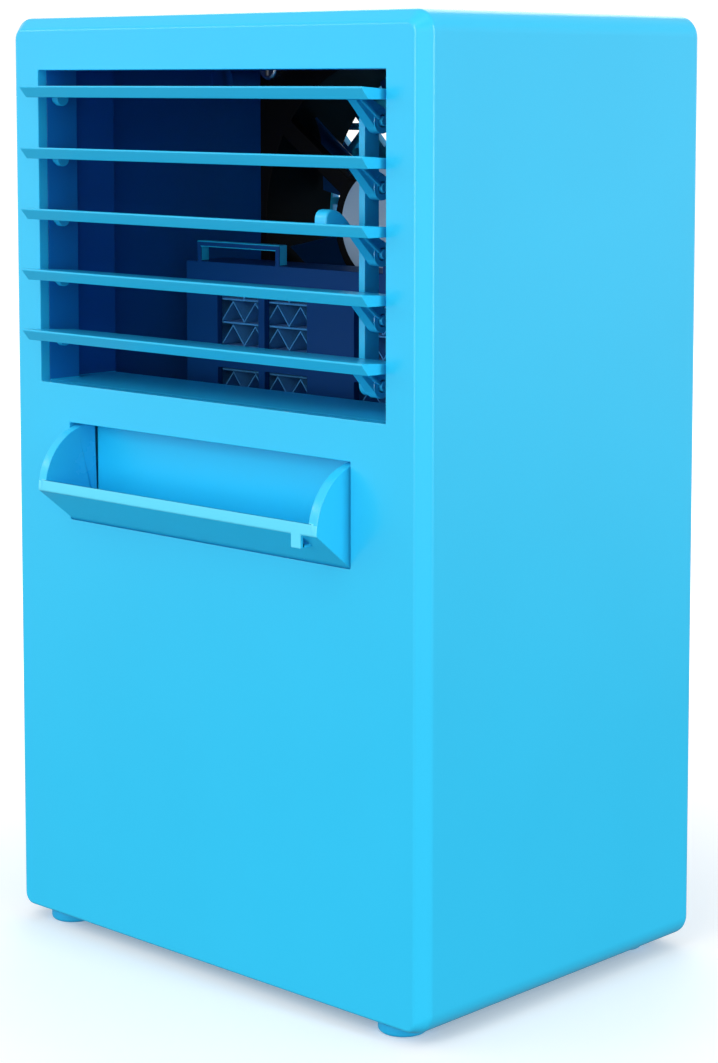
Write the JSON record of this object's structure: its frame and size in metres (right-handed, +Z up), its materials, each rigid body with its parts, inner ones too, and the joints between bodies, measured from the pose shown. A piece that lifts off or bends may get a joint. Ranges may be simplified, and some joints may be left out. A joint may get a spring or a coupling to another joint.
{
  "type": "portable air conditioner",
  "caption": "Desktop evaporative air cooler: tall blue case, tilting front louvre, hinged water-fill flap, tank with wicking pad, axial fan and rear speed knob.",
  "frame": {"origin": "on the ground under the middle of the whole cooler's box", "axes": "+Z up, -Y out of the louvred front, +X to the right seen from the front"},
  "size_m": [0.147, 0.1184, 0.2396],
  "materials": {
    "case_plastic": "satin-gloss moulded sky blue",
    "foot_pad": "soft matt pad in the case colour",
    "tank_plastic": "milky pale blue",
    "wick_paper": "corrugated wicking paper, matt",
    "fan_plastic": "satin black",
    "screw_steel": "zinc plated",
    "motor_steel": "bare steel",
    "magnet": "dark bonded magnet",
    "bearing_bronze": "sintered bronze",
    "copper_wire": "lacquered copper winding",
    "circuit_board": "green solder mask",
    "plain_label": "plain light grey sticker",
    "switch_body": "black moulding",
    "contact_metal": "plated contact",
    "lead_rubber": "black insulation"
  },
  "bodies": {
    "case": {"front_casing": "case_plastic", "feet": "foot_pad", "rear_cover": "case_plastic", "cover_screws": "screw_steel", "louvre_frame": "case_plastic", "louvre_screws": "screw_steel", "fill_chute": "case_plastic", "chute_screws": "screw_steel", "water_tank": "tank_plastic", "pad_frame": "case_plastic", "wick_pad": "wick_paper", "pad_grid": "case_plastic", "fan_frame": "fan_plastic", "fan_screws": "screw_steel", "shaft_bearing": "bearing_bronze", "stator_core": "motor_steel", "stator_coils": "copper_wire", "motor_board": "circuit_board", "motor_label": "plain_label", "control_board": "circuit_board", "board_screws": "screw_steel", "speed_switch": "switch_body", "power_jack": "switch_body", "jack_pin": "contact_metal", "fan_lead": "lead_rubber"},
    "slat_1": {"slat_1": "case_plastic"},
    "slat_2": {"slat_2": "case_plastic"},
    "slat_3": {"slat_3": "case_plastic"},
    "slat_4": {"slat_4": "case_plastic"},
    "slat_5": {"slat_5": "case_plastic"},
    "link": {"link_bar": "case_plastic"},
    "fill_flap": {"fill_flap": "case_plastic"},
    "fan_rotor": {"fan_impeller": "fan_plastic", "rotor_yoke": "motor_steel", "magnet_ring": "magnet", "rotor_shaft": "motor_steel", "shaft_clip": "motor_steel"},
    "speed_knob": {"speed_knob": "case_plastic", "switch_shaft": "motor_steel"}
  },
  "joints": [
    {"name": "slat_1_tilt", "type": "hinge", "parent": "case", "child": "slat_1", "pos_m": [0, -0.04236, 0.2188], "axis": [1, 0, 0], "range_deg": [-16, 30]},
    {"name": "slat_2_tilt", "type": "hinge", "parent": "case", "child": "slat_2", "pos_m": [0, -0.04236, 0.20315], "axis": [1, 0, 0], "range_deg": [-16, 30]},
    {"name": "slat_3_tilt", "type": "hinge", "parent": "case", "child": "slat_3", "pos_m": [0, -0.04236, 0.1875], "axis": [1, 0, 0], "range_deg": [-16, 30]},
    {"name": "slat_4_tilt", "type": "hinge", "parent": "case", "child": "slat_4", "pos_m": [0, -0.04236, 0.17185], "axis": [1, 0, 0], "range_deg": [-16, 30]},
    {"name": "slat_5_tilt", "type": "hinge", "parent": "case", "child": "slat_5", "pos_m": [0, -0.04236, 0.1562], "axis": [1, 0, 0], "range_deg": [-16, 30]},
    {"name": "link_swing", "type": "hinge", "parent": "slat_3", "child": "link", "pos_m": [0.0408, -0.03297, 0.18273], "axis": [1, 0, 0], "range_deg": [-30, 16]},
    {"name": "flap_close", "type": "hinge", "parent": "case", "child": "fill_flap", "pos_m": [0, -0.04317, 0.10832], "axis": [-1, 0, 0], "range_deg": [0, 52]},
    {"name": "fan_spin", "type": "hinge", "parent": "case", "child": "fan_rotor", "pos_m": [0, 0.02914, 0.1857], "axis": [0, -1, 0], "continuous": true},
    {"name": "knob_turn", "type": "hinge", "parent": "case", "child": "speed_knob", "pos_m": [0.037, 0.05024, 0.0511], "axis": [0, -1, 0], "range_deg": [0, 180]}
  ],
  "couplings": [
    {"joint": "slat_1_tilt", "follows": "slat_3_tilt", "ratio": 1},
    {"joint": "slat_2_tilt", "follows": "slat_3_tilt", "ratio": 1},
    {"joint": "slat_4_tilt", "follows": "slat_3_tilt", "ratio": 1},
    {"joint": "slat_5_tilt", "follows": "slat_3_tilt", "ratio": 1},
    {"joint": "link_swing", "follows": "slat_3_tilt", "ratio": -1}
  ]
}
